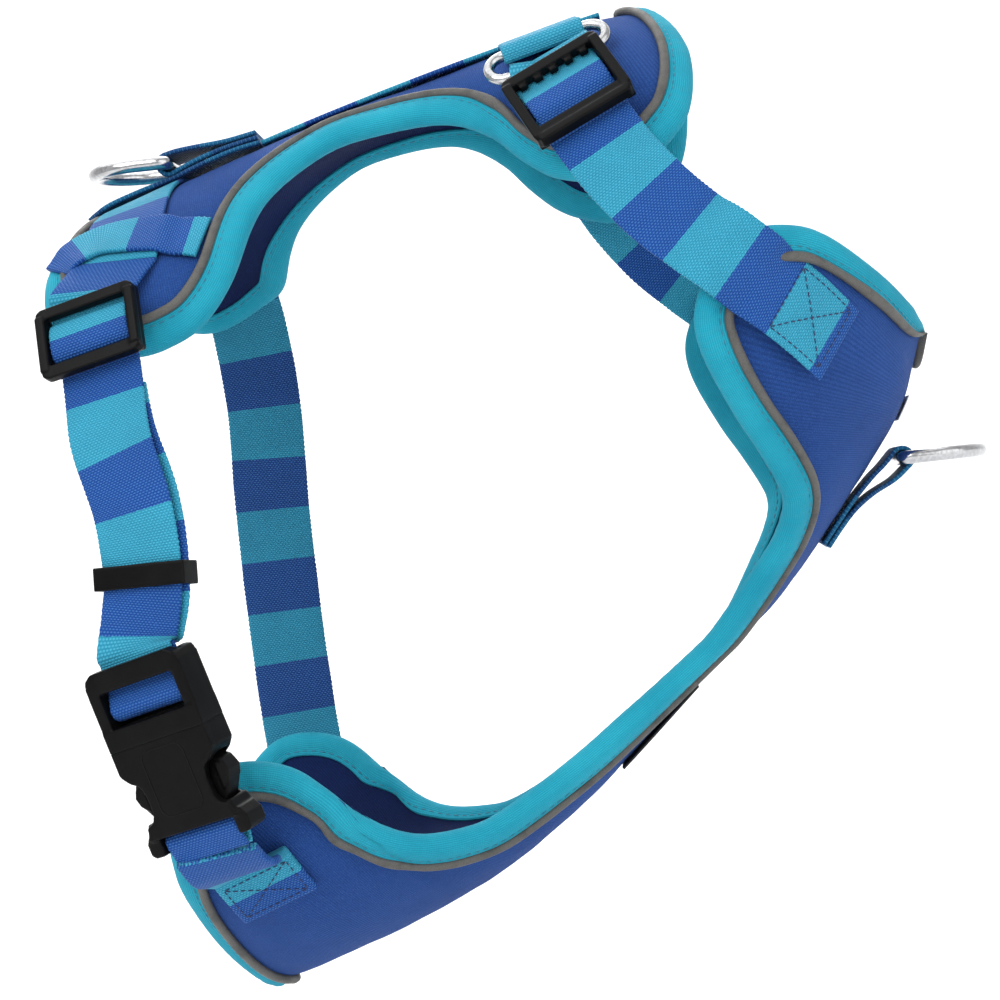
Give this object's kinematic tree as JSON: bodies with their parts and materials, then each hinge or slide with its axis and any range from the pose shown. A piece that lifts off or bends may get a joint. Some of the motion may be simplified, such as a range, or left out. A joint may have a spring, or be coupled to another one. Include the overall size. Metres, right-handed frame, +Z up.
{
  "type": "dog harness",
  "caption": "No-pull dog harness with padded back and chest panels, adjustable neck and girth webbing, side-release buckle and two D rings.",
  "frame": {"origin": "middle of the girth opening, where the dog's chest passes through", "axes": "+X towards the dog's head, +Y to the dog's left, +Z up; the side-release buckle is on the dog's right (-Y)"},
  "size_m": [0.2691, 0.1831, 0.2581],
  "materials": {
    "foam": "open-cell foam, hidden between the fabrics",
    "outer_fabric": "royal blue knitted fabric bonded to foam",
    "lining_fabric": "dark navy knitted lining",
    "edge_binding": "turquoise ribbed stretch binding",
    "reflective_piping": "dark grey reflective piping",
    "webbing": "turquoise and royal blue woven polyester webbing",
    "black_plastic": "satin black moulded acetal",
    "ring_metal": "polished nickel-plated steel wire",
    "label_tape": "white woven tape, blank",
    "rubber_patch": "black moulded rubber patch, blank"
  },
  "bodies": {
    "harness": {"back_core": "foam", "back_outer": "outer_fabric", "back_lining": "lining_fabric", "back_binding": "edge_binding", "back_piping": "reflective_piping", "chest_core": "foam", "chest_outer": "outer_fabric", "chest_lining": "lining_fabric", "chest_binding": "edge_binding", "chest_piping": "reflective_piping", "girth_webbing": "webbing", "girth_strap_near": "webbing", "girth_return": "webbing", "girth_strap_far": "webbing", "girth_end_far": "webbing", "cross_strap_near": "webbing", "cross_strap_far": "webbing", "buckle_plug": "black_plastic", "buckle_plug_loop": "webbing", "buckle_stub": "webbing", "stub_end": "webbing", "spine_webbing": "webbing", "back_ring_loop": "webbing", "back_ring_strand": "webbing", "front_ring_loop": "webbing", "neck_tab_near": "webbing", "neck_tab_far": "webbing", "neck_ring_near": "ring_metal", "neck_ring_far": "ring_metal", "neck_strap_near": "webbing", "neck_strap_far": "webbing", "neck_return_near": "webbing", "neck_return_far": "webbing", "chest_label": "label_tape", "breast_patch": "rubber_patch"},
    "girth_slider": {"girth_slider": "black_plastic", "girth_slider_wrap": "webbing"},
    "keeper": {"girth_keeper": "black_plastic"},
    "buckle_socket": {"buckle_socket": "black_plastic", "stub_loop": "webbing"},
    "arm_front": {"buckle_arm_front": "black_plastic"},
    "arm_rear": {"buckle_arm_rear": "black_plastic"},
    "back_ring": {"back_d_ring": "ring_metal"},
    "front_ring": {"front_d_ring": "ring_metal"},
    "slider_near": {"neck_slider_near": "black_plastic", "neck_slider_wrap_near": "webbing"},
    "slider_far": {"neck_slider_far": "black_plastic", "neck_slider_wrap_far": "webbing"}
  },
  "joints": [
    {"name": "back_ring_swing", "type": "hinge", "parent": "harness", "child": "back_ring", "pos_m": [0.029, 0, 0.1178], "axis": [0, 1, 0], "range_deg": [-8, 140]},
    {"name": "front_ring_swing", "type": "hinge", "parent": "harness", "child": "front_ring", "pos_m": [0.2079, 0, -0.043], "axis": [0, 1, 0], "range_deg": [-40, 90]},
    {"name": "neck_slider_near_travel", "type": "slide", "parent": "harness", "child": "slider_near", "axis": [0.1721, -0.5825, -0.7944], "range_m": [0, 0.009]},
    {"name": "neck_slider_far_travel", "type": "slide", "parent": "harness", "child": "slider_far", "axis": [0.1721, 0.5825, -0.7944], "range_m": [0, 0.009]},
    {"name": "girth_slider_travel", "type": "slide", "parent": "harness", "child": "girth_slider", "axis": [-0.1315, -0.3682, -0.9204], "range_m": [0, 0.02]},
    {"name": "keeper_travel", "type": "slide", "parent": "harness", "child": "keeper", "axis": [-0.2676, -0.0659, -0.9613], "range_m": [-0.004, 0.003]},
    {"name": "buckle_release", "type": "slide", "parent": "harness", "child": "buckle_socket", "axis": [0.0277, 0.0738, -0.9969], "range_m": [0, 0.026], "deforming": ["buckle_stub", "buckle_arm_front", "buckle_arm_rear"]},
    {"name": "arm_front_squeeze", "type": "hinge", "parent": "harness", "child": "arm_front", "pos_m": [-0.00637, -0.08842, -0.04436], "axis": [0.4213, 0.9035, 0.0786], "range_deg": [0, 7]},
    {"name": "arm_rear_squeeze", "type": "hinge", "parent": "harness", "child": "arm_rear", "pos_m": [-0.02559, -0.07947, -0.04423], "axis": [-0.4213, -0.9035, -0.0786], "range_deg": [0, 7]}
  ],
  "couplings": [
    {"joint": "arm_front_squeeze", "follows": "buckle_release", "rad_per_m": 4.0277},
    {"joint": "arm_rear_squeeze", "follows": "buckle_release", "rad_per_m": 4.0277}
  ]
}
